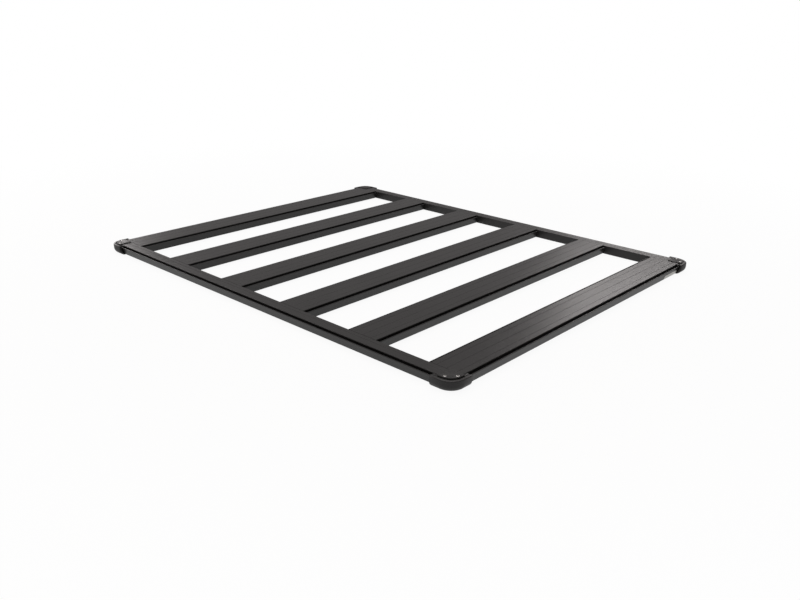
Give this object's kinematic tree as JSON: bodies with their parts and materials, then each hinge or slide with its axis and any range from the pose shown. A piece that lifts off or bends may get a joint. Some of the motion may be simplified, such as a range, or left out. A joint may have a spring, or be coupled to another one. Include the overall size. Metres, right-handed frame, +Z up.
{
  "type": "flat platform roof rack",
  "caption": "Flat roof platform of slotted cross planks between slotted side rails, with rounded, screwed corner castings.",
  "frame": {"origin": "middle of the rack in plan, at the level of the corner castings' undersides", "axes": "+X along the rack towards its rear end, where the label plate is; +Y across it towards the vehicle's right side; +Z up"},
  "size_m": [1.5494, 1.291, 0.035],
  "materials": {
    "extruded_black": "satin black powder coat on extruded aluminium",
    "cast_black": "satin black powder coat on cast aluminium",
    "bright_steel": "bright stainless steel",
    "label_silver": "brushed silver label plate, bare"
  },
  "bodies": {
    "root": {"left_rail": "extruded_black", "right_rail": "extruded_black", "front_plank": "extruded_black", "plank_2": "extruded_black", "plank_3": "extruded_black", "plank_4": "extruded_black", "plank_5": "extruded_black", "rear_plank": "extruded_black", "front_left_casting": "cast_black", "front_right_casting": "cast_black", "rear_left_casting": "cast_black", "rear_right_casting": "cast_black", "front_left_cap": "cast_black", "front_right_cap": "cast_black", "rear_left_cap": "cast_black", "rear_right_cap": "cast_black", "front_left_side_screw": "bright_steel", "front_left_end_screw": "bright_steel", "front_right_side_screw": "bright_steel", "front_right_end_screw": "bright_steel", "rear_left_side_screw": "bright_steel", "rear_left_end_screw": "bright_steel", "rear_right_side_screw": "bright_steel", "rear_right_end_screw": "bright_steel", "label_plate": "label_silver"}
  },
  "joints": []
}
